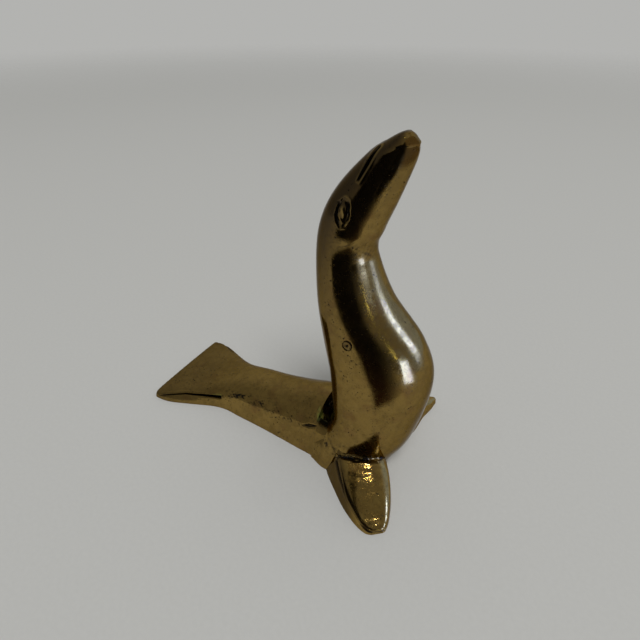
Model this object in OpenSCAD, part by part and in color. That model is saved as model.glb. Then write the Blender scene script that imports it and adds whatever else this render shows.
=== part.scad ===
// Brass seal figurine: a sea lion sitting upright with its nose in the air.
// It faces +X, its left side is +Y, and it rests on the plane z = 0.

/* [Overall] */
// Height from the table to the top of the nose
figure_height = 91.5; // [80:0.5:112]
// Length from the tail's trailing edge to the front of the chest
figure_length = 88; // [74:0.5:108]

/* [Trunk] */
// Distance from the hip joint forward to the front of the chest
trunk_length = 28.5; // [24:0.5:36]
// Height at which the chest stands out furthest
chest_height = 30; // [25:0.5:36]
// Width of the chest
chest_width = 24.6; // [20:0.2:30]
// Width of the trunk just above the table
base_width = 28.6; // [24:0.2:34]

/* [Neck and head] */
// Height of the throat, where the neck is slimmest
throat_height = 63; // [54:0.5:74]
// Width of the neck at the throat
neck_width = 14; // [12:0.2:17]
// Depth of the neck at the throat
neck_depth = 15.2; // [12:0.2:18]
// Width of the head at the eyes
head_width = 13.8; // [11:0.2:17]
// Width of the nose at its rim
nose_width = 7.8; // [5:0.2:10]

/* [Hip joint] */
// Height of the joint face between trunk and tail
hip_height = 11.5; // [10:0.1:13.8]
// Width of that joint face
hip_width = 26.6; // [23:0.2:32]

/* [Tail] */
// Height of the rump, just behind the hip joint
rump_height = 14.4; // [12:0.2:17.2]
// Height of the tail at its waist
waist_height = 7.6; // [6:0.2:9.2]
// Width of the tail at its waist
waist_width = 20.8; // [17:0.2:25]
// Width of the hind flippers at the trailing edge
fan_width = 34; // [28:0.5:41]
// Thickness of the hind flippers at the trailing edge
fan_thickness = 1.6; // [1.2:0.1:2]

/* [Fore flippers] */
// Length of the right fore flipper from its seat to its tip
right_flipper_length = 21; // [17.5:0.5:25.5]
// Length of the left fore flipper from its seat to its tip
left_flipper_length = 20; // [16.5:0.5:24]
// Width of a fore flipper at its seat
flipper_root_width = 17.2; // [14:0.2:20.6]
// Height of a fore flipper at its seat
flipper_root_height = 8.4; // [7:0.1:10]
// Width of a fore flipper at its tip
flipper_tip_width = 5.2; // [4:0.1:6.4]
// Thickness of a fore flipper at its tip
flipper_tip_thickness = 1.8; // [1.4:0.1:2.2]
// Angle between the way the seal faces and its right flipper
right_flipper_angle = 51; // [45:1:60]
// Angle between the way the seal faces and its left flipper
left_flipper_angle = 53; // [45:1:60]
// How much less each half of the left flipper's width is, from its middle on, than that of the right one
left_flipper_slimness = 1.6; // [0:0.1:2]
// Distance of a flipper's seat from the middle of the figure
flipper_seat_offset = 10.3; // [9.4:0.1:11.2]

/* [Dowels] */
// Diameter of the two dowels in the hip joint
tail_dowel_diameter = 3; // [2:0.1:3.6]
// Length of the two dowels in the hip joint
tail_dowel_length = 14; // [11:0.5:16]
// Distance between the two dowels in the hip joint
tail_dowel_spacing = 10; // [8:0.5:14]
// Diameter of the dowel in a flipper's root
flipper_dowel_diameter = 2.5; // [1.6:0.1:3]
// Length of the dowel in a flipper's root
flipper_dowel_length = 10; // [8:0.5:12]
// Space between a dowel and the wall of its hole
dowel_clearance = 0.1; // [0.05:0.05:0.2]
// Space left at each end of a dowel's hole
dowel_end_gap = 0.5; // [0.2:0.1:1]

/* [Brazing] */
// Thickness of the braze round a joint
braze_thickness = 0.6; // [0.4:0.1:1]
// Depth of the braze along a joint
braze_depth = 1.2; // [0.8:0.1:1.6]

/* [Casting plug] */
// Diameter of the plug that closes the core hole in the right flank
plug_diameter = 2.5; // [2:0.1:3.2]
// Length of that plug
plug_length = 5; // [4:0.5:6]
// Space between the plug and the wall of its hole
plug_clearance = 0.05; // [0.05:0.05:0.1]

/* [Hidden] */

// Facets round a whole ring of the trunk, and along the arch of a ring that stands on the table
ring_facets = 40;
arch_facets = 28;
// Rings between two neighbouring stations of a loft
body_steps = 5;
tail_steps = 4;
flipper_steps = 5;
round_facets = 48;

// The middle of the figure's length is x = 0
chest_front = figure_length / 2;
tail_end = -figure_length / 2;
hip_x = chest_front - trunk_length;
tail_run = hip_x - braze_depth - tail_end;
head_rise = figure_height - throat_height;
chest_rise = throat_height - chest_height;
throat_front = hip_x + 10.7;

// Stations of the trunk, from the hip joint up to the nose.
// Each ring runs from a point on the back line to a point on the front line:
// back x, back z, front x, front z, half the width.
// A front point below the table means that the ring stands on the table there.
body_rows = [
    [hip_x, hip_height, hip_x, -hip_height, hip_width / 2],
    [hip_x + 0.5, hip_height + 0.3, hip_x + 8, -13, base_width / 2],
    [hip_x + 1.2, hip_height + 1.6, hip_x + 16.5, -8, base_width / 2 - 0.3],
    [hip_x + 1.6, hip_height + 4, chest_front - 7.5, 1.5, base_width / 2 - 0.7],
    [hip_x + 1.8, chest_height * 0.65, chest_front - 3.4, chest_height * 0.38, chest_width / 2 + 1.2],
    [hip_x + 0.3, chest_height * 0.95, chest_front, chest_height, chest_width / 2],
    [hip_x - 1.9, chest_height + chest_rise * 0.23, chest_front - 3, chest_height + chest_rise * 0.32,
        chest_width / 2 - 1.3],
    [hip_x - 3.9, chest_height + chest_rise * 0.6, throat_front + 5, chest_height + chest_rise * 0.67,
        (chest_width + neck_width) / 4 - 0.5],
    [throat_front - neck_depth, throat_height - 0.5, throat_front, throat_height + 0.8, neck_width / 2],
    [throat_front - neck_depth + 1.4, throat_height + head_rise * 0.29,
        throat_front + 1.2, throat_height + head_rise * 0.23, head_width / 2 + 0.4],
    [hip_x + 0.8, throat_height + head_rise * 0.56, chest_front - 13.8, throat_height + head_rise * 0.5,
        head_width / 2 - 0.2],
    [hip_x + 7.8, throat_height + head_rise * 0.83, chest_front - 10.9, throat_height + head_rise * 0.8,
        head_width / 2 - 1.7],
    [hip_x + 11.8, figure_height - 2, chest_front - 10.4, figure_height - 2.6, nose_width / 2],
    [hip_x + 13.8, figure_height - 0.7, chest_front - 10.8, figure_height - 1.1, nose_width / 2 - 1],
    [hip_x + 14.8, figure_height, chest_front - 11.8, figure_height - 0.1, nose_width / 5]
];

// Squareness 2 makes an arch half an ellipse, and a higher value flattens its top and sides
hip_squareness = 2;
flipper_squareness = 2.4;

// Stations of the tail: share of its run behind the hip joint, height, half the width, squareness
tail_rows = [
    [0, hip_height, hip_width / 2, hip_squareness],
    [0.01, rump_height - 0.2, hip_width / 2 - 0.1, 2],
    [0.06, rump_height, hip_width / 2 - 0.5, 2],
    [0.19, rump_height * 0.6 + waist_height * 0.5, hip_width / 2 - 1.3, 2.1],
    [0.33, rump_height * 0.4 + waist_height * 0.6, waist_width / 2 + 0.9, 2.2],
    [0.47, waist_height + 1.4, waist_width / 2 + 0.4, 2.3],
    [0.57, waist_height, waist_width / 2, 2.5],
    [0.65, waist_height * 0.8, waist_width * 0.3 + fan_width * 0.15, 2.8],
    [0.77, fan_thickness + 2.2, waist_width * 0.25 + fan_width * 0.26, 3.2],
    [0.9, fan_thickness + 1.1, fan_width / 2 - 0.3, 4],
    [1, fan_thickness, fan_width / 2, 5]
];

// Stations of a fore flipper of that length and slimness: share of its length, height, half the width, squareness
function flipper_rows(length, slimness) = [
    [braze_depth / length, flipper_root_height, flipper_root_width / 2, flipper_squareness],
    [0.36, flipper_root_height * 0.82, flipper_root_width / 2 - 0.6 - slimness / 2, 2.5],
    [0.62, flipper_root_height * 0.58, flipper_root_width / 2 - 2 - slimness, 2.6],
    [0.85, flipper_tip_thickness + 1.2, flipper_tip_width / 2 + 2 - slimness, 2.8],
    [1, flipper_tip_thickness, flipper_tip_width / 2 - slimness / 2, 3]
];
// Length of the flipper on a side, which is 1 on the left and -1 on the right
function flipper_length(side) = side > 0 ? left_flipper_length : right_flipper_length;
flipper_seat_x = hip_x + 13.1;
flipper_dowel_height = flipper_root_height * 0.44;
tail_dowel_height = hip_height * 0.4;

// Place of the casting plug on the trunk: its station and its angle round the ring there
plug_station = 6.35;
plug_angle = -86;

// A cubic through b and c, with the directions at both set by their neighbours a and d
function blend(a, b, c, d, t) =
    (2 * b + (c - a) * t + (2 * a - 5 * b + 4 * c - d) * t * t + (3 * b - a - 3 * c + d) * t * t * t) / 2;
function row_before(rows, i) = i > 0 ? rows[i - 1] : 2 * rows[0] - rows[1];
function row_after(rows, i) = i < len(rows) - 1 ? rows[i + 1] : 2 * rows[i] - rows[i - 1];
function row_at(rows, s) =
    let (i = min(floor(s), len(rows) - 2))
    blend(row_before(rows, i), rows[i], rows[i + 1], row_after(rows, i + 1), s - i);
// The places s along a list of rows at which a loft has its rings
function ring_places(rows, steps) = [for (k = [0:(len(rows) - 1) * steps]) k / steps];

function squared(c, n) = sign(c) * pow(abs(c), 2 / n);
// Half an ellipse that stands on the table, as [sideways, up] points
function arch(height, half_width, n) =
    [for (k = [0:arch_facets])
        let (angle = 90 - 180 * k / arch_facets)
        [half_width * squared(sin(angle), n), height * max(0, squared(cos(angle), n))]];

function body_point(s, angle) =
    let (
        r = row_at(body_rows, s),
        back = [r[0], 0, r[1]],
        front = [r[2], 0, r[3]],
        table = front.z < 0 ? back.z / (back.z - front.z) : 1,
        share = min((1 - cos(angle)) / 2, table)
    )
    back + (front - back) * share + [0, r[4] * sin(angle), 0];
function body_ring(s) = [for (k = [0:ring_facets - 1]) body_point(s, -360 * k / ring_facets)];
function body_normal(s, angle) =
    let (
        step = 0.05,
        along = body_point(s + step, angle) - body_point(s - step, angle),
        round = body_point(s, angle + 1) - body_point(s, angle - 1),
        across = cross(along, round)
    )
    across / norm(across);

// Places [sideways, up] points in an upright plane across X
function across_x(points, x) = [for (p = points) [x, p.x, p.y]];

// A closed solid through rings that have the same number of points
module loft(rings) {
    n = len(rings[0]);
    last = len(rings) - 1;
    sides = [
        for (i = [0:last - 1], j = [0:n - 1])
            let (a = i * n + j, b = i * n + (j + 1) % n)
            each [[a, b, b + n], [a, b + n, a + n]]
    ];
    polyhedron(
        [for (ring = rings) each ring],
        concat([[for (j = [n - 1:-1:0]) j]], sides, [[for (j = [0:n - 1]) last * n + j]])
    );
}

// Puts its children at a flipper's seat, with +X along the flipper; side is 1 on the left, -1 on the right
module at_flipper(side) {
    angle = side > 0 ? left_flipper_angle : right_flipper_angle;
    translate([flipper_seat_x, side * flipper_seat_offset, 0])
        rotate([0, 0, side * angle])
            children();
}

// A solid with an arch's outline, standing on the table and running along +X
module arch_along(length, height, half_width, n) {
    rotate([90, 0, 90])
        linear_extrude(length)
            polygon(arch(height, half_width, n));
}

// The braze round a joint: the space between two arches, one braze thickness apart
module braze_along(height, half_width, n) {
    rotate([90, 0, 90])
        linear_extrude(braze_depth)
            difference() {
                polygon(arch(height + braze_thickness, half_width + braze_thickness, n));
                polygon(arch(height, half_width, n));
            }
}

// The room that a flipper and its braze take up in the side of the trunk
module flipper_seat(side) {
    at_flipper(side)
        arch_along(
            flipper_length(side),
            flipper_root_height + braze_thickness,
            flipper_root_width / 2 + braze_thickness,
            flipper_squareness
        );
}

module rod_along_x(diameter, length) {
    rotate([0, 90, 0])
        cylinder(d = diameter, h = length, center = true, $fn = round_facets);
}

module flipper_dowel_space(side, clearance, end_gap) {
    at_flipper(side)
        translate([0, 0, flipper_dowel_height])
            rod_along_x(flipper_dowel_diameter + 2 * clearance, flipper_dowel_length + 2 * end_gap);
}

module tail_dowel_space(side, clearance, end_gap) {
    translate([hip_x, side * tail_dowel_spacing / 2, tail_dowel_height])
        rod_along_x(tail_dowel_diameter + 2 * clearance, tail_dowel_length + 2 * end_gap);
}

// Puts its children on the trunk's surface at the plug, with +Z along the surface's normal
module at_plug() {
    normal = body_normal(plug_station, plug_angle);
    translate(body_point(plug_station, plug_angle))
        rotate([0, acos(normal.z), atan2(normal.y, normal.x)])
            children();
}

module body() {
    color("darkgoldenrod")
        difference() {
            loft([for (s = ring_places(body_rows, body_steps)) body_ring(s)]);
            for (side = [-1, 1]) {
                flipper_seat(side);
                flipper_dowel_space(side, dowel_clearance, dowel_end_gap);
                tail_dowel_space(side, dowel_clearance, dowel_end_gap);
            }
            at_plug()
                translate([0, 0, -plug_length])
                    cylinder(d = plug_diameter + 2 * plug_clearance, h = 2 * plug_length, $fn = round_facets);
        }
}

// The tail's joint face is a raised pad, which leaves room for the braze round it
module tail() {
    start = hip_x - braze_depth;
    rings = [
        for (s = ring_places(tail_rows, tail_steps))
            let (r = row_at(tail_rows, s))
            across_x(arch(r[1], r[2], r[3]), start - tail_run * r[0])
    ];
    color("goldenrod")
        difference() {
            union() {
                loft(rings);
                translate([start, 0, 0])
                    arch_along(
                        braze_depth,
                        hip_height - braze_thickness,
                        hip_width / 2 - braze_thickness,
                        hip_squareness
                    );
            }
            for (side = [-1, 1])
                tail_dowel_space(side, dowel_clearance, dowel_end_gap);
        }
}

module fore_flipper(side) {
    length = flipper_length(side);
    rows = flipper_rows(length, side > 0 ? left_flipper_slimness : 0);
    root = across_x(arch(flipper_root_height, flipper_root_width / 2, flipper_squareness), 0);
    rings = [
        for (s = ring_places(rows, flipper_steps))
            let (r = row_at(rows, s))
            across_x(arch(r[1], r[2], r[3]), length * r[0])
    ];
    color("goldenrod")
        difference() {
            at_flipper(side)
                loft(concat([root], rings));
            flipper_dowel_space(side, dowel_clearance, dowel_end_gap);
        }
}

module fore_flipper_right() { fore_flipper(-1); }
module fore_flipper_left() { fore_flipper(1); }

module tail_dowel(side) {
    color("peru")
        tail_dowel_space(side, 0, 0);
}

module tail_dowel_right() { tail_dowel(-1); }
module tail_dowel_left() { tail_dowel(1); }

module flipper_dowel(side) {
    color("peru")
        flipper_dowel_space(side, 0, 0);
}

module flipper_dowel_right() { flipper_dowel(-1); }
module flipper_dowel_left() { flipper_dowel(1); }

module tail_braze() {
    color("khaki")
        translate([hip_x - braze_depth, 0, 0])
            braze_along(hip_height - braze_thickness, hip_width / 2 - braze_thickness, hip_squareness);
}

module flipper_braze(side) {
    color("khaki")
        at_flipper(side)
            braze_along(flipper_root_height, flipper_root_width / 2, flipper_squareness);
}

module flipper_braze_right() { flipper_braze(-1); }
module flipper_braze_left() { flipper_braze(1); }

module casting_plug() {
    color("peru")
        at_plug()
            translate([0, 0, -plug_length])
                cylinder(d = plug_diameter, h = plug_length, $fn = round_facets);
}

body();
tail();
fore_flipper_right();
fore_flipper_left();
tail_dowel_right();
tail_dowel_left();
flipper_dowel_right();
flipper_dowel_left();
tail_braze();
flipper_braze_right();
flipper_braze_left();
casting_plug();
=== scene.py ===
"""Looks of the brass seal figurine, built round its CAD frame.

Shapes are in millimetres until they become meshes.
"""

import math

import bpy
import numpy as np
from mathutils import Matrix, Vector


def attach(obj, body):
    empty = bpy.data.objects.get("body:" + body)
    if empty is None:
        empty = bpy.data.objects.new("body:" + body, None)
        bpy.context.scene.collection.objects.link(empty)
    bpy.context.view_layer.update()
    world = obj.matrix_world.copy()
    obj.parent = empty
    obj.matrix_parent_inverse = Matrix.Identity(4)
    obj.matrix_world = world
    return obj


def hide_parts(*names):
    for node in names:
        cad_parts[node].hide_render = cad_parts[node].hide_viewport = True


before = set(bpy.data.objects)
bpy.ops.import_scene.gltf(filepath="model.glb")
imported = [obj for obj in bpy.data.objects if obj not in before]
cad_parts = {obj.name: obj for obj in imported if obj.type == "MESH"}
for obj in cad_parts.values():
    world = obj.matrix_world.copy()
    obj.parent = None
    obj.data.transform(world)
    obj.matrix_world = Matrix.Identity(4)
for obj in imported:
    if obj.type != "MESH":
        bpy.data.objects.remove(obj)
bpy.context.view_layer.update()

MM = 0.001

# Stations of the trunk from the hip joint up to the nose: back x, back z, front x, front z, half the width.
# A front point below the table means a ring that stands on it.
BODY_ROWS = [
    (15.5, 11.5, 15.5, -11.5, 13.3),
    (16.0, 11.8, 23.5, -13.0, 14.3),
    (16.7, 13.1, 32.0, -8.0, 14.0),
    (17.2, 15.5, 36.5, 1.5, 13.6),
    (17.3, 19.5, 41.0, 11.4, 13.5),
    (15.8, 28.5, 44.0, 29.5, 12.3),
    (13.6, 37.6, 40.7, 40.6, 11.0),
    (11.6, 49.8, 31.2, 52.1, 9.1),
    (11.0, 62.5, 26.2, 63.8, 7.0),
    (12.4, 71.3, 27.4, 69.6, 7.4),
    (16.3, 79.0, 30.2, 77.2, 6.8),
    (23.1, 86.9, 33.1, 85.8, 5.2),
    (27.1, 89.8, 33.4, 88.9, 3.9),
    (29.0, 91.0, 32.6, 90.4, 2.9),
    (30.1, 91.5, 31.5, 91.4, 1.55),
]
# Ends of the stretches of the trunk, and the rings in each: close together where there is fine relief
BODY_STRETCHES = [0, 6.2, 6.5, 7.75, 8.1, 9.0, 10.3, 12.1, 12.7, 14]
BODY_RINGS = [75, 26, 25, 16, 18, 95, 60, 40, 35]
# Ends of the stretches round half a ring, from the back to the front, and the columns in each
SIDE_STRETCHES = [0, 0.2, 0.62, 1]
SIDE_COLUMNS = [18, 76, 26]
# How far the foot of the trunk flares out on each side, and how far it reaches back into the tail
FOOT_FLARE = 0.9
TAIL_REACH = 3
# The crease at the throat: its station, its width in stations and its depth
THROAT_STATION = 7.95
THROAT_WIDTH = 0.14
THROAT_DEPTH = 0.1
NOSE_CAP_HEIGHT = 0.06

# Stations of the tail from inside the hip joint to its trailing edge:
# x, height, half the width, squareness of the arch, slope of the band along the table in degrees
TAIL_ROWS = [
    (19.5, 14.9, 13.3, 2.0, 77),
    (16.0, 14.9, 13.3, 2.0, 77),
    (15.3, 14.8, 13.2, 2.0, 76),
    (14.6, 14.7, 13.1, 2.0, 76),
    (12.6, 14.5, 12.9, 2.0, 76),
    (10.0, 14.1, 12.7, 2.0, 75),
    (3.3, 11.9, 12.0, 2.1, 72),
    (-4.8, 10.1, 11.3, 2.2, 69),
    (-13.0, 9.0, 10.8, 2.3, 68),
    (-18.9, 7.6, 10.4, 2.5, 68),
    (-23.6, 6.1, 11.3, 2.8, 67),
    (-30.6, 3.8, 14.0, 3.2, 64),
    (-38.2, 2.7, 16.7, 4.0, 64),
    (-43.6, 1.7, 17.0, 5.0, 66),
    (-44.0, 1.3, 16.9, 5.0, 66),
]
# The radius of the fan's worn right corner, half the fan's width, and the rounding of the edge above the band
FAN_CORNER = 1.2
FAN_HALF_WIDTH = 17
TAIL_EDGE = 1.2
# The gap at the hip: x and y over which the tail's end is cut down to a ledge,
# a height just above the uncut end, how far below it the ledge starts, and the rounding of the ledge's edge
HIP_GAP_X = (14.8, 15.3)
HIP_GAP_Y = (8.9, 7.6)
HIP_GAP_TOP = 15.6
HIP_GAP_DEPTH = 5.2
HIP_GAP_ROUNDING = 0.6

# Stations of a fore flipper: distance from its seat, height,
# then half the width, squareness and slope of its rear side, and the same of its front side
FLIPPER_ROWS = [
    (-3.0, 10.0, 8.6, 5.0, 70, 8.6, 3.0, 84),
    (1.2, 9.1, 8.5, 5.0, 71, 8.7, 3.0, 84),
    (7.6, 6.9, 7.5, 6.0, 75, 8.2, 3.2, 82),
    (13.0, 4.8, 6.3, 6.0, 80, 6.9, 3.4, 80),
    (17.9, 2.8, 4.4, 6.0, 79, 4.9, 3.4, 78),
    (20.2, 2.1, 2.8, 5.0, 76, 3.5, 3.4, 75),
    (20.9, 1.8, 1.9, 5.0, 72, 2.9, 3.4, 72),
    (21.2, 1.4, 1.0, 5.0, 70, 2.2, 3.4, 72),
]
# A flipper's seat on the trunk as x and y, the rounding of the edge above its band, the width of the fillet
# at its root, and the degrees that each flipper is turned out
FLIPPER_SEAT = (28.6, 10.3)
FLIPPER_EDGE = 0.4
FILLET_WIDTH = 4
RIGHT_ANGLE = 51
LEFT_ANGLE = 53
# The left flipper's share of the full length, and how much slimmer its rear and its front edge are
LEFT_LENGTH = 0.96
LEFT_SLIMNESS = (1.4, 3.0)

# Heights of the unevenness that the hand finish leaves, and of the bumps at both ends of a flipper
CASTING_FINISH = 0.05
FLIPPER_FINISH = 0.03
FLIPPER_BUMPS = 0.04
# Seeds of the unevenness. Where it has two layers, the second takes the next number
BODY_SEED = 3
TAIL_SEED = 5
FLIPPER_SEED = 8
VERDIGRIS_SEED = 11
STAIN_SEED = 13
EYE_SEED = 17
FLIPPER_BUMP_SEED = 19
TAIL_BEAD_SEED = 21
RIGHT_BEAD_SEED = 31
LEFT_BEAD_SEED = 41

# Grooves, and ridges with a depth below 0, as lists of x, y, z, half the width, depth.
# Those on both sides are given for the right side.
MOUTH = [(23.3, -5.7, 82.3, 0.25, 0.3), (24.8, -4.4, 85.4, 0.45, 0.8), (26.2, -2.8, 88.3, 0.55, 0.9)]
NOSE_EDGE = [(31.8, -3.4, 89.6, 0.2, -0.05), (32.4, -2.8, 89.5, 0.35, -0.15), (33.3, 0.0, 89.1, 0.35, -0.15)]
FAN_SLIT = [
    (-41.5, -16.4, 1.2, 0.3, 0.2),
    (-38.2, -15.1, 2.1, 0.4, 0.6),
    (-33.3, -12.5, 2.7, 0.5, 0.9),
    (-27.9, -11.1, 3.3, 0.5, 1.0),
    (-23.1, -10.2, 3.7, 0.6, 1.2),
    (-21.5, -9.8, 3.8, 0.7, 1.3),
]
LENS_PIT = [(10.8, -10.2, 8.3, 0.25, 0.1), (13.0, -9.9, 8.9, 0.75, 0.7), (15.3, -9.6, 9.6, 0.3, 0.3)]
LENS_RIDGE = [(12.2, -10.0, 8.7, 0.25, -0.05), (13.0, -9.9, 8.9, 0.3, -0.12), (14.0, -9.8, 9.2, 0.25, -0.05)]
# Relative to a flipper's seat: along it, towards its rear, up
TONGUE_EDGE = [
    (2.1, 6.6, 6.5, 0.8, 0.7),
    (7.0, 6.8, 5.4, 0.8, 0.7),
    (9.8, 6.5, 5.0, 0.6, 0.4),
    (12.0, 6.1, 4.4, 0.4, 0.1),
    (18.4, 3.5, 2.2, 0.35, 0.1),
    (20.4, 1.6, 1.2, 0.4, 0.4),
    (21.1, 0.2, 0.9, 0.35, 0.4),
    (20.9, -2.0, 0.8, 0.3, 0.3),
    (19.4, -4.2, 0.8, 0.2, 0.0),
]
ROOT_GROOVE = [
    (1.9, 5.6, 7.6, 0.4, 0.3),
    (2.7, 4.0, 8.3, 0.6, 0.6),
    (3.3, 2.0, 8.4, 0.6, 0.7),
    (4.1, -0.3, 8.2, 0.5, 0.5),
    (4.8, -2.5, 7.9, 0.35, 0.2),
]

# Dents as x, y, z, radius, depth
HEAD_DENTS = [(32.9, -2.3, 87.4, 0.6, 0.12), (18.9, -6.4, 77.0, 0.7, 0.3)]
FLANK_DENTS = [
    (23.7, -11.0, 38.8, 0.45, 0.2),
    (25.0, -11.3, 37.9, 0.5, 0.25),
    (26.5, -11.9, 21.8, 0.6, 0.3),
    (18.1, -11.2, 7.6, 0.7, 0.2),
    (21.6, -12.5, 7.5, 0.5, 0.2),
    (22.6, -12.6, 7.7, 0.6, 0.25),
]
TAIL_DENTS = [(-15.8, -8.4, 5.9, 0.6, 0.2), (-13.6, -8.4, 6.2, 0.5, 0.2), (-10.2, -8.4, 6.7, 0.4, 0.15)]

# Speckled stains, and where verdigris grows, as x, y, z, half the width, strength
TAIL_STAIN = [
    (-21.5, -9.0, 4.9, 1.1, 1.0),
    (-13.6, -8.0, 6.8, 1.5, 1.0),
    (-3.5, -8.5, 7.8, 1.7, 0.9),
    (5.0, -9.6, 8.2, 1.6, 0.8),
    (10.0, -10.4, 8.6, 1.3, 0.6),
]
FLANK_STAIN = [(18.7, -11.6, 7.3, 1.5, 0.8), (21.8, -13.2, 7.6, 2.0, 0.9), (26.8, -13.8, 9.8, 1.6, 0.9)]
NECK_STAIN = [(21.3, -6.6, 66.3, 2.0, 0.6), (24.1, -4.6, 65.3, 2.2, 0.7), (26.0, -0.9, 64.9, 1.6, 0.5)]
HIP_VERDIGRIS = [(14.3, -5.4, 12.7, 0.6, 0.5), (15.0, -6.6, 11.4, 1.1, 1.0), (15.5, -7.5, 10.2, 1.1, 0.9)]
SLIT_VERDIGRIS = [(-24.0, -10.0, 4.4, 0.4, 0.3), (-21.4, -9.5, 4.6, 0.7, 0.7)]

# The eye in the trunk's own coordinates, station and degrees round from the back: its middle and its two axes
EYE_CENTRE = (9.60, 80)
EYE_AXES = [(0.43, -12.5), (-0.09, -14)]

# The brazing filler: points along each bead, and its radius
TAIL_BEAD = [
    (15.3, -10.2, 4.5),
    (15.3, -8.8, 7.6),
    (15.4, -7.0, 9.5),
    (15.4, -4.2, 10.9),
    (15.4, 0.0, 11.4),
    (15.4, 4.2, 10.9),
    (15.4, 7.0, 9.5),
    (15.3, 8.8, 7.6),
    (15.3, 10.2, 4.5),
]
TAIL_BEAD_RADIUS = 0.55
FLIPPER_BEAD = [
    (0.5, 6.2, 7.0),
    (1.3, 5.4, 7.9),
    (1.9, 4.2, 8.5),
    (2.5, 2.3, 8.7),
    (3.3, 0.3, 8.6),
    (4.0, -1.8, 8.4),
    (4.2, -4.1, 8.1),
    (4.1, -5.6, 7.6),
    (3.5, -7.2, 5.6),
    (2.6, -8.2, 1.5),
]
FLIPPER_BEAD_RADIUS = 0.45

# The casting plug: its station on the trunk and its degrees round from the back,
# its pocket's radius, depth and edge, and its own outline as radius and height
PLUG_STATION = 6.35
PLUG_ANGLE = -86
PLUG_POCKET = (1.34, 0.25, 0.06)
PLUG_OUTLINE = [
    (0.05, -0.14),
    (0.25, -0.12),
    (0.42, 0.0),
    (0.7, 0.03),
    (0.95, 0.02),
    (1.12, -0.04),
    (1.2, -0.2),
    (1.2, -1.2),
]

# Colours of the brass where it is reddish, in its grain, tarnished or in painted shade, worn or painted with
# a highlight, grimy or painted with shade in its hollows, or green, and of its sheen
REDDISH_COLOUR = (0.19, 0.095, 0.03, 1)
GRAIN_COLOUR = (0.1, 0.07, 0.022, 1)
TARNISH_AND_SHADE_COLOUR = (0.07, 0.045, 0.018, 1)
WORN_AND_HIGHLIGHT_COLOUR = (0.5, 0.34, 0.1, 1)
GRIME_AND_SHADE_COLOUR = (0.014, 0.01, 0.006, 1)
VERDIGRIS_COLOUR = (0.075, 0.115, 0.016, 1)
SHEEN_COLOUR = (0.5, 0.45, 0.38, 1)

# Strength of the world: everywhere, what it gains at the back and in reflections on the right, and as seen
WORLD_LEVEL = 0.22
WORLD_BEHIND = 0.18
WORLD_RIGHT = 0.25
WORLD_SEEN = 0.45

# Lamps in metres: the point that they are aimed at, and the colour of daylight
LAMP_TARGET = (0.03, 0, 0.04)
DAYLIGHT = (0.27, 0.42, 1.3)

# The dark card in front of the figure: its y, and its outline as x and z
CARD_Y = -52
CARD_OUTLINE = [
    (42, -10),
    (112, -10),
    (112, 44),
    (96, 57),
    (51, 60),
    (64, 74),
    (80, 95),
    (88, 130),
    (-28, 130),
    (-14, 100),
    (-5, 85),
    (-14, 52),
    (-12, 40),
    (16, 28),
    (32, 12),
]
# The card beside the head: its x
HEAD_CARD_X = 46
# Colours of the cards: the dark of both, the foot of the front one and the brown of the one beside the head
CARD_BLACK = (0.006, 0.004, 0.004)
CARD_FOOT = (0.07, 0.024, 0.014)
HEAD_CARD_BROWN = (0.6, 0.5, 0.42)

# The camera: place in metres, degrees that it looks down and is turned, and focal length
CAMERA_PLACE = (0.0635, -0.0945, 0.115)
CAMERA_PITCH = 34.8
CAMERA_TURN = 29
CAMERA_LENS = 27.11


def ramp(value, low, high):
    """0 at low and 1 at high, kept there beyond both, with soft ends."""
    t = np.clip((value - low) / (high - low), 0, 1)
    return t * t * (3 - 2 * t)


def stretches(ends, counts):
    """Places that fill each stretch between two ends with its own count of steps."""
    filled = [np.linspace(a, b, n, endpoint=False) for a, b, n in zip(ends[:-1], ends[1:], counts)]
    return np.append(np.concatenate(filled), ends[-1])


def stations(rows, places):
    """Values at the places along a list of rows, on the cubic through each pair and its neighbours."""
    table = np.array(rows, float)
    table = np.vstack([2 * table[0] - table[1], table, 2 * table[-1] - table[-2]])
    first = np.minimum(places.astype(int), len(rows) - 2)
    t = (places - first)[:, None]
    a, b, c, d = (table[first + k] for k in range(4))
    return (2 * b + (c - a) * t + (2 * a - 5 * b + 4 * c - d) * t**2 + (3 * b - a - 3 * c + d) * t**3) / 2


def squared(values, n):
    """A sine or cosine bent towards a square corner; n of 2 leaves it as it is."""
    return np.sign(values) * np.abs(values) ** (2 / n)


def softer_minimum(a, b, width):
    """The lower of two values, with the corner between them rounded over that width."""
    overlap = np.maximum(width - np.abs(a - b), 0) / width
    return np.minimum(a, b) - overlap**2 * width / 4


def unevenness(points, length, seed):
    """Smooth bumps from -1 to 1, about that length apart."""
    chance = np.random.default_rng(seed)
    waves = 7
    total = np.zeros(points.shape[:-1])
    for _ in range(waves):
        direction = chance.normal(size=3)
        direction *= 2 * math.pi / length / np.linalg.norm(direction)
        total += np.sin(points @ direction + chance.uniform(0, 2 * math.pi))
    return total / waves


def body_grid(places, columns):
    """Points of the trunk, one ring per place, their degrees round from the back, and which rings are closed.

    A ring runs from one table edge round the back to the other.
    """
    back_x, back_z, front_x, front_z, half_width = stations(BODY_ROWS, places).T
    reach = np.where(front_z < 0, back_z / np.maximum(back_z - front_z, 1e-6), 1)
    angle = columns[None] * np.arccos(1 - 2 * reach)[:, None]
    share = (1 - np.cos(angle)) / 2
    x = back_x[:, None] + (front_x - back_x)[:, None] * share
    z = back_z[:, None] + (front_z - back_z)[:, None] * share
    y = half_width[:, None] * np.sin(angle)
    return np.stack([x, y, np.maximum(z, 0)], -1), np.degrees(angle), reach >= 1


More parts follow.
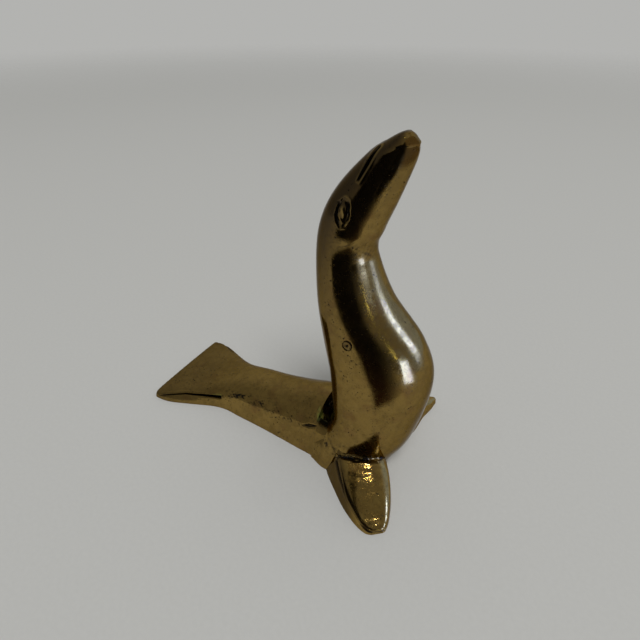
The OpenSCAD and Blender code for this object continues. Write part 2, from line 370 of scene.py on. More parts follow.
def arch_grid(rows, places, columns, edge):
    """Points of a loft of arches along X that stand on the table.

    Each has a sloped band along its two feet, and the edge above the band is rounded over that width.
    """
    x, height, *sides = stations(rows, places).T[:, :, None]
    half_width, n, slope = (np.where(columns[None] > 0, sides[k], sides[k + 3]) for k in range(3))
    angle = columns[None] * math.pi / 2
    y = half_width * squared(np.sin(angle), n)
    z = height * np.maximum(squared(np.cos(angle), n), 0)
    band = half_width - z / np.tan(np.radians(slope))
    y = np.sign(y) * np.maximum(softer_minimum(np.abs(y), band, edge), 0)
    return np.stack([x + 0 * y, y, z], -1)


def grid_faces(shape, closed):
    """Faces of a grid of points. Closed rings share their first and last point."""
    rings, columns = shape
    number = np.arange(rings * columns).reshape(rings, columns)
    number[closed, -1] = number[closed, 0]
    a = number[:-1, :-1].ravel()
    b = number[:-1, 1:].ravel()
    c = number[1:, 1:].ravel()
    d = number[1:, :-1].ravel()
    faces = np.stack([d, c, b, a], -1).tolist()
    for low, high in zip(number[:-1], number[1:]):
        corners = list(dict.fromkeys([high[-1], high[0], low[0], low[-1]]))
        if len(corners) > 2:
            faces.append([int(v) for v in corners])
    for ring in (number[0], number[-1][::-1]):
        faces.append(list(dict.fromkeys(ring.tolist())))
    return faces


def grid_normals(points, closed):
    """Unit normals of a grid of points, pointing out of the solid."""
    round_step = np.gradient(points, axis=1)
    seam = points[:, 1] - points[:, -2]
    round_step[closed, 0] = seam[closed] / 2
    round_step[closed, -1] = seam[closed] / 2
    normals = np.cross(np.gradient(points, axis=0), round_step)
    return normals / np.maximum(np.linalg.norm(normals, axis=-1, keepdims=True), 1e-9)


def mirrored(path):
    return [(x, -y, *rest) for x, y, *rest in path]


class Surface:
    """A grid of points, with relief along its normals and the marks that its material reads."""

    def __init__(self, points, closed):
        self.points = points
        self.closed = closed
        self.normals = grid_normals(points, closed)
        self.relief = np.zeros(points.shape[:2])
        self.grime_and_shade = np.zeros(points.shape[:2])
        self.verdigris = np.zeros(points.shape[:2])
        self.tarnish_and_shade = np.zeros(points.shape[:2])
        self.haze = np.zeros(points.shape[:2])

    def near_path(self, path):
        """Distance of each point from a path along the surface, and the path's last two values there."""
        path = np.array(path, float)
        best = np.full(self.relief.shape, 1e9)
        width = np.ones_like(best)
        depth = np.zeros_like(best)
        for start, end in zip(path[:-1], path[1:]):
            run = end[:3] - start[:3]
            t = np.clip(((self.points - start[:3]) @ run) / (run @ run), 0, 1)
            away = self.points - start[:3] - t[..., None] * run
            lift = (away * self.normals).sum(-1)
            level = np.sqrt(np.maximum((away**2).sum(-1) - lift**2, 0))
            distance = level + np.maximum(np.abs(lift) - 1, 0)
            nearer = distance < best
            best = np.where(nearer, distance, best)
            width = np.where(nearer, start[3] + t * (end[3] - start[3]), width)
            depth = np.where(nearer, start[4] + t * (end[4] - start[4]), depth)
        return best, width, depth

    def groove(self, path, lip=0.0):
        """Cuts a V-shaped groove with raised lips along a path, darkened with painted shade the deeper it is.
        A depth below 0 makes a ridge, which takes that painted shade away.
        """
        distance, width, depth = self.near_path(path)
        cut = np.maximum(1 - distance / width, 0)
        self.relief -= cut * depth
        self.relief += lip * np.exp(-(((distance - width - 0.35) / 0.4) ** 2)) * ramp(depth, 0, 0.3)
        # Painted shade: the deeper the groove, the darker
        deep = ramp(cut, 0.05, 0.6) * np.clip(depth * 2.5, -1, 1)
        self.grime_and_shade = np.clip(np.maximum(self.grime_and_shade, deep) + np.minimum(deep, 0), 0, 1)

    def dent(self, x, y, z, radius, depth):
        """Presses in a round dent and darkens it with painted shade as it deepens."""
        hollow = np.maximum(1 - ((self.points - (x, y, z)) ** 2).sum(-1) / radius**2, 0) ** 1.5
        self.relief -= hollow * depth
        self.grime_and_shade = np.maximum(self.grime_and_shade, hollow * ramp(depth, 0.08, 0.3))

    def stain(self, path):
        """Speckles of grime along a path."""
        distance, width, strength = self.near_path(path)
        bumps = unevenness(self.points, 0.9, STAIN_SEED) + unevenness(self.points, 2.3, STAIN_SEED + 1)
        speckle = ramp(bumps, 0.0, 0.5)
        self.grime_and_shade = np.maximum(self.grime_and_shade, ramp(distance / width, 1.6, 0.2) * strength * speckle)

    def grow_verdigris(self, path):
        distance, width, strength = self.near_path(path)
        patchy = 0.75 + 0.5 * unevenness(self.points, 1.3, VERDIGRIS_SEED)
        self.verdigris = np.maximum(self.verdigris, ramp(distance / width, 1.3, 0.3) * strength * patchy)

    def hand_finish(self, height, seed):
        """The faint unevenness that casting and filing leave."""
        bumps = unevenness(self.points, 16, seed) + 0.5 * unevenness(self.points, 6, seed + 1)
        self.relief += height * bumps

    def make(self, name):
        """The surface as a smooth-shaded mesh object."""
        points = self.points + self.normals * self.relief[..., None]
        points[..., 2] = np.maximum(points[..., 2], 0)
        mesh = bpy.data.meshes.new(name)
        mesh.from_pydata((points.reshape(-1, 3) * MM).tolist(), [], grid_faces(points.shape[:2], self.closed))
        marks = {
            "grime_and_shade": self.grime_and_shade,
            "verdigris": self.verdigris,
            "tarnish_and_shade": self.tarnish_and_shade,
            "haze": self.haze,
            # Lighter where the relief stands up: rubbed wear, and a painted highlight on raised rims and
            # lumps
            "wear_and_highlight": (self.relief - 0.06) * 8,
        }
        for mark, values in marks.items():
            attribute = mesh.attributes.new(mark, "FLOAT", "POINT")
            attribute.data.foreach_set("value", np.clip(values, 0, 1).ravel().astype(np.float32))
        mesh.shade_smooth()
        mesh.set_sharp_from_angle(angle=math.radians(50))
        piece = bpy.data.objects.new(name, mesh)
        bpy.context.scene.collection.objects.link(piece)
        return piece


def plug_place():
    """The middle of the plug's face on the trunk, and the trunk's normal there."""
    places = PLUG_STATION + np.array([-0.02, 0, 0.02])
    columns = (PLUG_ANGLE + np.array([-1, 0, 1])) / 180
    points, _, closed = body_grid(places, columns)
    return points[1, 1], grid_normals(points, ~closed)[1, 1]


def shape_eyes(surface, places, angle):
    """A raised rim round a groove round a boss, on each side of the head, with painted shade in the groove.
    """
    axes = np.array(EYE_AXES).T
    offset = np.stack([0 * angle + places[:, None] - EYE_CENTRE[0], np.abs(angle) - EYE_CENTRE[1]], -1)
    across = offset @ np.linalg.inv(axes).T
    out = np.hypot(across[..., 0], across[..., 1])
    sideways = np.abs(across[..., 1]) / np.maximum(out, 1e-6)
    rough = unevenness(surface.points, 1.5, EYE_SEED)
    groove = np.exp(-(((out - 0.74 + 0.12 * rough) / 0.14) ** 2)) * (0.25 + 0.75 * sideways)
    rim = np.exp(-(((out - 1.0 + 0.06 * rough) / 0.09) ** 2)) * (0.7 + 0.6 * rough)
    surface.relief += 0.1 * rim - 0.35 * groove + ramp(out, 0.7, 0.2) * (0.08 + 0.12 * rough)
    # Painted shade in the groove
    surface.grime_and_shade = np.maximum(surface.grime_and_shade, ramp(groove, 0.3, 0.8))


def shape_trunk(points, closed):
    """The trunk's points, fitted to the tail and the flippers."""
    x, y, z = np.moveaxis(points, -1, 0)
    # Its foot flares out to meet the fore flippers
    flare = FOOT_FLARE * ramp(x, 15, 22.5) * ramp(z, 7, 0)
    points[..., 1] += np.sign(y) * flare
    # Below the gap at the hip it reaches back into the tail
    reach = ramp(z, 12.5, 9.5) * ramp(np.abs(y), 8.5, 6.5)
    points[..., 0] -= TAIL_REACH * reach * ramp(x, 21, 17)
    swell = flipper_fillet(points, -1, RIGHT_ANGLE) + flipper_fillet(points, 1, LEFT_ANGLE)
    return points + grid_normals(points, closed) * swell[..., None]


def shape_throat(surface, places, turned):
    """A crease round the throat."""
    crease = np.exp(-(((places - THROAT_STATION) / THROAT_WIDTH) ** 2))[:, None] * ramp(turned, 95, 135)
    surface.relief -= THROAT_DEPTH * crease


def shape_nose(surface, turned):
    """A cap on the tip of the nose, with a ridge along its edge."""
    z = surface.points[..., 2]
    cap = ramp(z, 89.2, 89.4) * ramp(z, 91.2, 89.8) * ramp(turned, 80, 110)
    surface.relief += NOSE_CAP_HEIGHT * cap
    for path in (NOSE_EDGE, mirrored(NOSE_EDGE)):
        surface.groove(path)


def sink_plug(surface):
    """A shallow pocket that the casting plug sits in, darkened a little with painted shade."""
    centre, _ = plug_place()
    radius, depth, edge = PLUG_POCKET
    pocket = ramp(np.linalg.norm(surface.points - centre, axis=-1), radius + edge, radius - edge)
    surface.relief -= depth * pocket
    surface.grime_and_shade = np.maximum(surface.grime_and_shade, 0.35 * pocket)


def body_piece():
    places = stretches(BODY_STRETCHES, BODY_RINGS)
    half = stretches(SIDE_STRETCHES, SIDE_COLUMNS)
    columns = np.concatenate([-half[:0:-1], half])
    points, angle, closed = body_grid(places, columns)
    surface = Surface(shape_trunk(points, closed), closed)
    surface.hand_finish(CASTING_FINISH, BODY_SEED)
    turned = np.abs(angle)
    z = surface.points[..., 2]
    # Darker up the back of the neck and head: patina, and a painted dark reflection on that side
    surface.tarnish_and_shade = ramp(z, 32, 76) * ramp(turned, 120, 60)
    surface.haze = ramp(z, 36, 50) * ramp(z, 72, 66) * ramp(turned, 100, 130)
    shape_throat(surface, places, turned)
    shape_eyes(surface, places, angle)
    for path in (MOUTH, mirrored(MOUTH)):
        surface.groove(path, lip=0.1)
    shape_nose(surface, turned)
    for dent in HEAD_DENTS + mirrored(HEAD_DENTS) + FLANK_DENTS:
        surface.dent(*dent)
    for path in (FLANK_STAIN, NECK_STAIN):
        surface.stain(path)
    for path in (HIP_VERDIGRIS, mirrored(HIP_VERDIGRIS)):
        surface.grow_verdigris(path)
    sink_plug(surface)
    return surface.make("seal_body")


def cut_hip_gap(points):
    """Cuts the tail's end, between its sides, down to a ledge under the trunk."""
    x, y, z = np.moveaxis(points, -1, 0)
    cut = ramp(x, *HIP_GAP_X) * ramp(np.abs(y), *HIP_GAP_Y)
    ledge = HIP_GAP_TOP - HIP_GAP_DEPTH * cut - ramp(x, 15.3, 19.5)
    points[..., 2] = softer_minimum(z, ledge, HIP_GAP_ROUNDING)


def wear_fan_corner(points):
    """Rounds the right corner of the fan."""
    x, y, _ = np.moveaxis(points, -1, 0)
    fan_end = TAIL_ROWS[-1][0]
    over = np.maximum(fan_end + FAN_CORNER - x, 0)
    room = FAN_HALF_WIDTH - FAN_CORNER + np.sqrt(np.maximum(FAN_CORNER**2 - over**2, 0))
    points[..., 1] *= np.where(y < 0, room / FAN_HALF_WIDTH, 1)


def shade_gap_and_age_tail(surface):
    """Painted shade and a little verdigris on the faces in the gap at the hip, and a fan that grows darker
    towards its end.
    """
    x, y, z = np.moveaxis(surface.points, -1, 0)
    gap = ramp(x, 14.8, 15.2) * ramp(z, 9.4, 10.2) * ramp(np.abs(y), 9.6, 8.6)
    surface.verdigris = 0.15 * gap
    # Painted shade in the gap
    surface.grime_and_shade = np.maximum(surface.grime_and_shade, 0.3 * gap)
    surface.tarnish_and_shade = np.maximum(gap, 0.3 * ramp(x, -20, -38))


def tail_piece():
    rows = [row + row[2:] for row in TAIL_ROWS]
    end = len(rows) - 1
    places = stretches([0, 1, 4, 5.6, end - 2, end], [20, 90, 50, 100, 60])
    points = arch_grid(rows, places, np.linspace(1, -1, 201), TAIL_EDGE)
    cut_hip_gap(points)
    wear_fan_corner(points)
    surface = Surface(points, np.zeros(len(places), bool))
    surface.hand_finish(CASTING_FINISH, TAIL_SEED)
    left_slit = [(x, -y, 0.5 * z, *rest) for x, y, z, *rest in FAN_SLIT]
    for path in (FAN_SLIT, left_slit):
        surface.groove(path, lip=0.05)
    for path in (LENS_PIT, LENS_RIDGE):
        surface.groove(path)
    surface.stain(TAIL_STAIN)
    shade_gap_and_age_tail(surface)
    for dent in TAIL_DENTS:
        surface.dent(*dent)
    for path in (HIP_VERDIGRIS, mirrored(HIP_VERDIGRIS), SLIT_VERDIGRIS, mirrored(SLIT_VERDIGRIS)):
        surface.grow_verdigris(path)
    return surface.make("seal_tail")


def at_flipper(points, side, angle):
    """Moves points given along, towards the rear of and above a flipper's seat to the figure's own place."""
    turn = math.radians(side * angle)
    along, rear, up = np.moveaxis(np.asarray(points, float), -1, 0)
    sideways = side * rear
    x = FLIPPER_SEAT[0] + along * math.cos(turn) - sideways * math.sin(turn)
    y = side * FLIPPER_SEAT[1] + along * math.sin(turn) + sideways * math.cos(turn)
    return np.stack([x, y, up], -1)


def flipper_path(path, side, angle):
    path = np.array(path)
    return np.hstack([at_flipper(path[:, :3], side, angle), path[:, 3:]])


def flipper_fillet(points, side, angle):
    """How far the trunk swells where it meets the rear side of a flipper."""
    turn = math.radians(side * angle)
    x = points[..., 0] - FLIPPER_SEAT[0]
    y = points[..., 1] - side * FLIPPER_SEAT[1]
    along = x * math.cos(turn) + y * math.sin(turn)
    rear = side * (y * math.cos(turn) - x * math.sin(turn))
    table = np.array(FLIPPER_ROWS)
    height = np.interp(along, table[:, 0], table[:, 1])
    half_width = np.interp(along, table[:, 0], table[:, 2])
    out = np.hypot(rear / half_width, points[..., 2] / height)
    gap = np.abs(np.hypot(rear, points[..., 2]) * (1 - 1 / np.maximum(out, 1e-3)))
    swell = np.maximum(FILLET_WIDTH - gap, 0) ** 2 / (4 * FILLET_WIDTH)
    return swell * ramp(rear, 1.5, 4.5) * ramp(along, -6, -3) * ramp(points[..., 2], 1, 4)


def flipper_piece(name, side, angle, length, slimness):
    """A fore flipper with that share of the full length, its rear and front edges so much slimmer."""
    places = stretches([0, 4, len(FLIPPER_ROWS) - 1], [110, 50])
    flat = arch_grid(FLIPPER_ROWS, places, side * np.linspace(-1, 1, 141), FLIPPER_EDGE)
    flat[..., 0] *= np.where(flat[..., 0] > 0, length, 1)
    rear, front = slimness
    narrowing = rear * ramp(flat[..., 1], -4, 4) - front * ramp(flat[..., 1], 4, -4)
    flat[..., 1] -= narrowing * ramp(flat[..., 0], 4, 14)
    surface = Surface(at_flipper(flat, side, angle), np.zeros(len(places), bool))
    surface.hand_finish(FLIPPER_FINISH, FLIPPER_SEED)
    ends = ramp(flat[..., 0], 12, 6) + ramp(flat[..., 0], 16, 19)
    surface.relief += FLIPPER_BUMPS * unevenness(surface.points, 2.5, FLIPPER_BUMP_SEED) * ends
    # Darker along its rear band
    surface.tarnish_and_shade = 0.8 * ramp(flat[..., 1], 4.0, 6.0)
    for path in (TONGUE_EDGE, ROOT_GROOVE):
        surface.groove(flipper_path(path, side, angle))
    return surface.make(name)


def bead_piece(name, path, radius, tarnish_and_shade, seed):
    """A lumpy bead of brazing filler along a path."""
    path = np.asarray(path, float)
    places = np.linspace(0, len(path) - 1, 160)
    middle = stations(path, places)
    along = np.gradient(middle, axis=0)
    along /= np.linalg.norm(along, axis=1, keepdims=True)
    side = np.cross(along, (1, 0, 0))
    side /= np.linalg.norm(side, axis=1, keepdims=True)
    other = np.cross(along, side)
    around = np.linspace(0, 2 * math.pi, 25)
    ring = np.cos(around)[None, :, None] * side[:, None] + np.sin(around)[None, :, None] * other[:, None]
    ends = np.minimum(1, np.minimum(places, len(path) - 1 - places) * 4 + 0.2)
    points = middle[:, None] + ring * radius * ends[:, None, None]
    surface = Surface(points, np.ones(len(places), bool))
    lumps = unevenness(points, 3.2, seed) + 0.7 * unevenness(points, 1.1, seed + 1)
    surface.relief += radius * 0.8 * lumps
    # Painted shade in the hollows between the lumps
    surface.grime_and_shade = ramp(lumps, 0.0, -0.5)
    # Darkened all over by that share: painted shade for a bead that lies in a gap
    surface.tarnish_and_shade += tarnish_and_shade
    return surface.make(name)


def plug_piece():
    """A disc with a punched middle, turned round the trunk's normal."""
    centre, normal = plug_place()
    outline = np.array(PLUG_OUTLINE)
    places = np.linspace(len(outline) - 1, 0, 40)
    radius, height = stations(outline, places).T
    side = np.cross(normal, (0, 0, 1))
    side /= np.linalg.norm(side)
    other = np.cross(normal, side)
    around = np.linspace(0, 2 * math.pi, 49)
    ring = np.cos(around)[None, :, None] * side + np.sin(around)[None, :, None] * other
    points = centre + ring * radius[:, None, None] + normal * height[:, None, None]
    surface = Surface(points, np.ones(len(places), bool))
    # Painted shade in the punched middle and round the rim
    surface.grime_and_shade += ramp(radius, 0.4, 0.15)[:, None] + ramp(radius, 1.05, 1.2)[:, None]
    return surface.make("plug")


class Nodes:
    """Adds and links shader nodes in one node tree."""

    def __init__(self, tree):
        self.tree = tree

    def add(self, kind, settings=None, **inputs):
        """A node of that kind. An input is a value or another node's output; its name has _ for a space."""
        node = self.tree.nodes.new("ShaderNode" + kind)
        for name, value in (settings or {}).items():
            setattr(node, name, value)
        for name, value in inputs.items():
            key = int(name[1:]) if name[0] == "n" and name[1:].isdigit() else name.replace("_", " ")
            self.put(node.inputs[key], value)
        return node

    def put(self, socket, value):
        if isinstance(value, bpy.types.NodeSocket):
            self.tree.links.new(value, socket)
        else:
            socket.default_value = value

    def math(self, operation, *values):
        node = self.add("Math", {"operation": operation})
        for socket, value in zip(node.inputs, values):
            self.put(socket, value)
        return node.outputs[0]

    def noise(self, where, scale, detail):
        return self.add("TexNoise", Vector=where, Scale=scale, Detail=detail).outputs["Fac"]

    def span(self, value, low, high, to_low=0.0, to_high=1.0):
        """The value moved from the range low..high to the range to_low..to_high, and kept inside it."""
        smooth = {"interpolation_type": "SMOOTHSTEP"}
        return self.add("MapRange", smooth, n0=value, n1=low, n2=high, n3=to_low, n4=to_high).outputs[0]

    def mix(self, share, a, b):
        """Colour a where share is 0 and colour b where it is 1."""
        return self.add("Mix", {"data_type": "RGBA"}, n0=share, n6=a, n7=b).outputs[2]

    def mark(self, name):
        """What the mesh says about a point under that name."""
        return self.add("Attribute", {"attribute_name": name}).outputs["Fac"]

    def specks(self, where, scale, radius, patches):
        """Ragged specks, only where the noise of the patches is high."""
        bent = self.add("TexNoise", Vector=where, Scale=scale * 2).outputs["Color"]
        bent = self.add("VectorMath", {"operation": "SCALE"}, n0=bent, Scale=0.7 / scale).outputs[0]
        bent = self.add("VectorMath", {"operation": "ADD"}, n0=where, n1=bent).outputs[0]
        cells = self.add("TexVoronoi", Vector=bent, Scale=scale).outputs["Distance"]
        return self.math("MULTIPLY", self.span(cells, radius, radius / 2), patches)


def brass_colour(nodes, where, mottle, bright, dull):
    """Bright to dull in blotches, reddish in patches, dark in its grain; darker where marked as tarnished or
    in painted shade, lighter where marked as worn or with a painted highlight.
    """
    blotches = nodes.noise(where, 80.0, 3.0)
    grain = nodes.noise(where, 2400.0, 2.0)
    dulled = nodes.math("ADD", nodes.math("MULTIPLY", blotches, 0.5), nodes.math("MULTIPLY", mottle, 0.5))
    colour = nodes.mix(nodes.span(dulled, 0.38, 0.62), (*bright, 1), (*dull, 1))
    reddish = nodes.span(nodes.noise(where, 190.0, 4.0), 0.52, 0.72, 0.0, 0.45)
    colour = nodes.mix(reddish, colour, REDDISH_COLOUR)
    colour = nodes.mix(nodes.span(grain, 0.55, 0.75, 0.0, 0.3), colour, GRAIN_COLOUR)
    colour = nodes.mix(nodes.mark("tarnish_and_shade"), colour, TARNISH_AND_SHADE_COLOUR)
    return nodes.mix(nodes.math("MULTIPLY", nodes.mark("wear_and_highlight"), 0.8), colour, WORN_AND_HIGHLIGHT_COLOUR)


def brass_bump(nodes, where, pits):
    """The normal of a surface with a fine grain, pits and upright polishing scratches."""
    stretched = nodes.add("Mapping", Vector=where, Scale=(1.0, 1.0, 0.06)).outputs[0]
    scratches = nodes.noise(stretched, 5000.0, 1.0)
    height = nodes.math("SUBTRACT", nodes.noise(where, 1500.0, 4.0), pits)
    height = nodes.math("ADD", height, nodes.math("MULTIPLY", scratches, 0.35))
    return nodes.add("Bump", Strength=0.12, Distance=0.0001, Height=height).outputs["Normal"]


def brass(name, bright, dull, roughness):
    """Aged brass: mottled and pitted, grimy or darkened with painted shade, green or hazy where the mesh is
    marked.
    """
    material = bpy.data.materials.new(name)
    material.use_nodes = True
    shader = material.node_tree.nodes["Principled BSDF"]
    nodes = Nodes(material.node_tree)
    where = nodes.add("TexCoord").outputs["Object"]
    mottle = nodes.noise(where, 600.0, 5.0)
    pits = nodes.specks(where, 950.0, 0.3, nodes.span(nodes.noise(where, 240.0, 2.0), 0.48, 0.62))
    dust = nodes.specks(where, 1700.0, 0.34, nodes.span(nodes.noise(where, 420.0, 2.0), 0.42, 0.6))
    dark = nodes.math("MAXIMUM", nodes.math("MULTIPLY", pits, 0.75), nodes.math("MULTIPLY", dust, 0.5))
    # The mesh's grime and painted shade, over the pits and dust
    dark = nodes.math("MAXIMUM", nodes.mark("grime_and_shade"), dark)
    verdigris = nodes.mark("verdigris")
    colour = brass_colour(nodes, where, mottle, bright, dull)
    colour = nodes.mix(dark, colour, GRIME_AND_SHADE_COLOUR)
    colour = nodes.mix(verdigris, colour, VERDIGRIS_COLOUR)
    nodes.put(shader.inputs["Base Color"], colour)
    nodes.put(shader.inputs["Metallic"], nodes.span(verdigris, 0.1, 0.7, 1.0, 0.2))
    rough = nodes.span(mottle, 0.35, 0.65, roughness - 0.04, roughness + 0.07)
    rough = nodes.math("ADD", rough, nodes.math("MULTIPLY", nodes.mark("haze"), 0.07))
    nodes.put(shader.inputs["Roughness"], nodes.math("MAXIMUM", rough, nodes.math("MULTIPLY", dark, 0.6)))
    nodes.put(shader.inputs["Normal"], brass_bump(nodes, where, pits))
    shader.inputs["Specular Tint"].default_value = SHEEN_COLOUR
    shader.inputs["Coat Weight"].default_value = 0.2
    shader.inputs["Coat Roughness"].default_value = 0.04
    return material


def make_pieces():
    """Every visual piece with its material, and what it stands for in the frame."""
    aged = brass("aged_brass", (0.31, 0.2, 0.052), (0.23, 0.146, 0.036), 0.13)
    bright = brass("bright_brass", (0.4, 0.265, 0.07), (0.28, 0.175, 0.043), 0.09)
    braze = brass("braze", (0.48, 0.33, 0.1), (0.3, 0.19, 0.05), 0.2)
    pin = brass("pin_brass", (0.26, 0.18, 0.055), (0.17, 0.11, 0.034), 0.22)
    body = body_piece()
    tail = tail_piece()
    right_flipper = flipper_piece("right_flipper", -1, RIGHT_ANGLE, 1, (0, 0))
    left_flipper = flipper_piece("left_flipper", 1, LEFT_ANGLE, LEFT_LENGTH, LEFT_SLIMNESS)
    right_path = at_flipper(FLIPPER_BEAD, -1, RIGHT_ANGLE)
    left_path = at_flipper(FLIPPER_BEAD, 1, LEFT_ANGLE)
    # The tail's bead lies in the gap at the hip and is painted dark all over as shade
    tail_bead = bead_piece("tail_bead", TAIL_BEAD, TAIL_BEAD_RADIUS, 1, TAIL_BEAD_SEED)
    right_bead = bead_piece("right_bead", right_path, FLIPPER_BEAD_RADIUS, 0, RIGHT_BEAD_SEED)
    left_bead = bead_piece("left_bead", left_path, FLIPPER_BEAD_RADIUS, 0, LEFT_BEAD_SEED)
    pieces = [
        (body, aged, "aged_brass", "body"),
        (tail, aged, "aged_brass", "tail"),
        (right_flipper, bright, "bright_brass", "fore_flipper_right"),
        (left_flipper, bright, "bright_brass", "fore_flipper_left"),
        (tail_bead, braze, "braze", "tail_braze"),
        (right_bead, braze, "braze", "flipper_braze_right"),
        (left_bead, braze, "braze", "flipper_braze_left"),
        (plug_piece(), pin, "pin_brass", "casting_plug"),
    ]
    for piece, material, slot, node in pieces:
        piece.data.materials.append(material)
        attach(piece, "root")
        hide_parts(node)
    for name in ("tail_dowel_right", "tail_dowel_left", "flipper_dowel_right", "flipper_dowel_left"):
        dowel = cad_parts[name]
        dowel.data.materials.clear()
        dowel.data.materials.append(pin)


def make_floor():
    """A pale round floor that fades into the background."""
    bpy.ops.mesh.primitive_circle_add(vertices=128, radius=1.3, fill_type="NGON")
    floor = bpy.context.object
    floor.name = "floor"
    material = bpy.data.materials.new("floor")
    material.use_nodes = True
    nodes = Nodes(material.node_tree)
    shader = material.node_tree.nodes["Principled BSDF"]
    output = material.node_tree.nodes["Material Output"]
    where = nodes.add("TexCoord").outputs["Object"]
    speckle = nodes.noise(where, 900.0, 3.0)
    nodes.put(shader.inputs["Base Color"], nodes.mix(speckle, (0.6, 0.6, 0.58, 1), (0.64, 0.64, 0.62, 1)))
    shader.inputs["Roughness"].default_value = 0.9
    shader.inputs["Specular IOR Level"].default_value = 0.0
    clear = nodes.add("BsdfTransparent")
    away = nodes.add("VectorMath", {"operation": "LENGTH"}, n0=where)
    fade = nodes.span(away.outputs["Value"], 0.5, 1.25)
    mixed = nodes.add("MixShader", n0=fade, n1=shader.outputs[0], n2=clear.outputs[0])
    nodes.put(output.inputs["Surface"], mixed.outputs[0])
    floor.data.materials.append(material)


def make_world():
    """A dim studio, lighter at the back and, in reflections, on the right. It is seen as a pale grey."""
    world = bpy.data.worlds.new("studio")
    bpy.context.scene.world = world
    world.use_nodes = True
    nodes = Nodes(world.node_tree)
    background = world.node_tree.nodes["Background"]
    towards = nodes.add("SeparateXYZ", n0=nodes.add("TexCoord").outputs["Generated"])
    turned = nodes.math("MULTIPLY", towards.outputs["X"], 0.82)
    turned = nodes.math("MULTIPLY_ADD", towards.outputs["Y"], 0.57, turned)
    right = nodes.span(turned, 0.6, 0.9)
    behind = nodes.span(towards.outputs["Y"], 0.0, 0.8, 0.0, WORLD_BEHIND)
    level = nodes.math("ADD", WORLD_LEVEL, behind)
    rays = nodes.add("LightPath")
    cool = nodes.math("MULTIPLY", right, rays.outputs["Is Glossy Ray"])
    level = nodes.math("ADD", level, nodes.math("MULTIPLY", cool, WORLD_RIGHT))
    seen = nodes.math("MULTIPLY", rays.outputs["Is Camera Ray"], WORLD_SEEN)
    nodes.put(background.inputs["Strength"], nodes.math("MAXIMUM", level, seen))
    nodes.put(background.inputs["Color"], nodes.mix(cool, (1, 1, 0.97, 1), (0.65, 0.85, 1.6, 1)))


def soft_box(name, centre, size, radiance, colour=(1, 1, 1)):
    """A square-edged soft lamp that lights and reflects but isn't seen itself."""
    lamp = bpy.data.lights.new(name, "AREA")
    lamp.shape = "RECTANGLE"
    lamp.size, lamp.size_y = size
    lamp.energy = radiance * math.pi * size[0] * size[1]
    lamp.color = colour
    holder = bpy.data.objects.new(name, lamp)
    holder.location = centre
    aim = Vector(LAMP_TARGET) - Vector(centre)
    holder.rotation_euler = aim.to_track_quat("-Z", "Y").to_euler()
    holder.visible_camera = False
    bpy.context.scene.collection.objects.link(holder)
    return holder


def make_lights():
    """A soft key light, windows and a yellow strip that only reflections show, and two small downlights."""
    key = soft_box("key", (1.0, -0.9, 2.6), (1.2, 1.2), 9.5)
    key.visible_glossy = False
    windows = [
        soft_box("near_window", (0.2, -0.074, 0.031), (0.06, 0.07), 10, DAYLIGHT),
        soft_box("far_window", (0.418, 0.124, 0.2), (0.13, 0.16), 11, DAYLIGHT),
        soft_box("far_window_foot", (0.418, 0.124, 0.082), (0.13, 0.075), 3, DAYLIGHT),
        soft_box("strip", (0.3, -0.205, 0.12), (0.004, 0.044), 14, (0.9, 1, 0.5)),
    ]
    for window in windows:
        window.visible_diffuse = False
    for number, place in enumerate([(0.75, 0.3, 3.0), (0.5, 1.0, 3.0)]):
        soft_box(f"downlight_{number}", place, (0.05, 0.05), 120)


def soft_inside(outline, x, z, width):
    """1 well inside an outline and 0 well outside it, with an edge of that width on each side."""
    inside = np.zeros(x.shape, bool)
    near = np.full(x.shape, 1e9)
    for (start_x, start_z), (end_x, end_z) in zip(outline, outline[1:] + outline[:1]):
        run_x = end_x - start_x
        run_z = end_z - start_z
        t = np.clip(((x - start_x) * run_x + (z - start_z) * run_z) / (run_x**2 + run_z**2), 0, 1)
        near = np.minimum(near, np.hypot(x - start_x - t * run_x, z - start_z - t * run_z))
        crosses = (start_z > z) != (end_z > z)
        inside ^= crosses & (x < start_x + (z - start_z) * run_x / (run_z or 1))
    return ramp(np.where(inside, near, -near), -width, width)


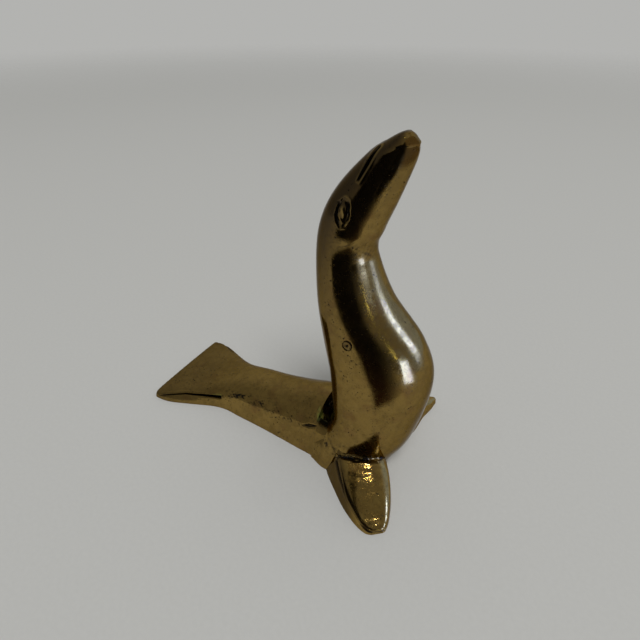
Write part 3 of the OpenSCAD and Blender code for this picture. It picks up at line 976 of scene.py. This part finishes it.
def make_card(name, points, cover, share, first, second):
    """An upright card that only reflections show, as far as its cover says, in two colours mixed by share."""
    rows, columns = cover.shape
    number = np.arange(rows * columns).reshape(rows, columns)
    corners = [number[:-1, :-1], number[:-1, 1:], number[1:, 1:], number[1:, :-1]]
    faces = np.stack(corners, -1).reshape(-1, 4)
    mesh = bpy.data.meshes.new(name)
    mesh.from_pydata((points.reshape(-1, 3) * MM).tolist(), [], faces.tolist())
    for mark, values in (("cover", cover), ("share", share)):
        attribute = mesh.attributes.new(mark, "FLOAT", "POINT")
        attribute.data.foreach_set("value", values.ravel().astype(np.float32))
    card = bpy.data.objects.new(name, mesh)
    bpy.context.scene.collection.objects.link(card)
    card.visible_camera = False
    card.visible_diffuse = False
    card.visible_shadow = False
    material = bpy.data.materials.new(name)
    material.use_nodes = True
    nodes = Nodes(material.node_tree)
    shader = material.node_tree.nodes["Principled BSDF"]
    output = material.node_tree.nodes["Material Output"]
    colour = nodes.mix(nodes.mark("share"), (*first, 1), (*second, 1))
    nodes.put(shader.inputs["Base Color"], colour)
    shader.inputs["Roughness"].default_value = 0.9
    clear = nodes.add("BsdfTransparent")
    mixed = nodes.add("MixShader", n0=nodes.mark("cover"), n1=clear.outputs[0], n2=shader.outputs[0])
    nodes.put(output.inputs["Surface"], mixed.outputs[0])
    mesh.materials.append(material)


def make_cards():
    """A dark card in front of the figure, which fades towards the right low down, and one beside the head."""
    x, z = np.meshgrid(np.arange(-44, 126, 2), np.arange(0, 130, 2))
    cover = soft_inside(CARD_OUTLINE, x, z, 4) * (1 - 0.95 * ramp(x, 45, 115) * ramp(z, 66, 58))
    points = np.stack([x, 0 * x + CARD_Y, z], -1)
    make_card("front_card", points, cover, ramp(z, 45, 0), CARD_BLACK, CARD_FOOT)
    # The one beside the head is brown, but dark on its near side, where its edge slants low down
    y, z = np.meshgrid(np.linspace(-45, 45, 46), np.linspace(60, 120, 31))
    near = ramp(y + 1.2 * np.maximum(72 - z, 0), -6, -16)
    cover = np.maximum(near, ramp(z, 73, 78))
    points = np.stack([0 * y + HEAD_CARD_X, y, z], -1)
    make_card("head_card", points, cover, near, HEAD_CARD_BROWN, CARD_BLACK)


def make_camera():
    camera = bpy.data.objects.new("camera", bpy.data.cameras.new("camera"))
    camera.data.sensor_width = 36
    camera.data.lens = CAMERA_LENS
    camera.data.clip_start = 0.005
    camera.location = CAMERA_PLACE
    camera.rotation_euler = (math.radians(90 - CAMERA_PITCH), 0, math.radians(CAMERA_TURN))
    bpy.context.scene.collection.objects.link(camera)
    bpy.context.scene.camera = camera


make_pieces()
make_floor()
make_world()
make_lights()
make_cards()
make_camera()
bpy.context.scene.view_settings.view_transform = "Standard"
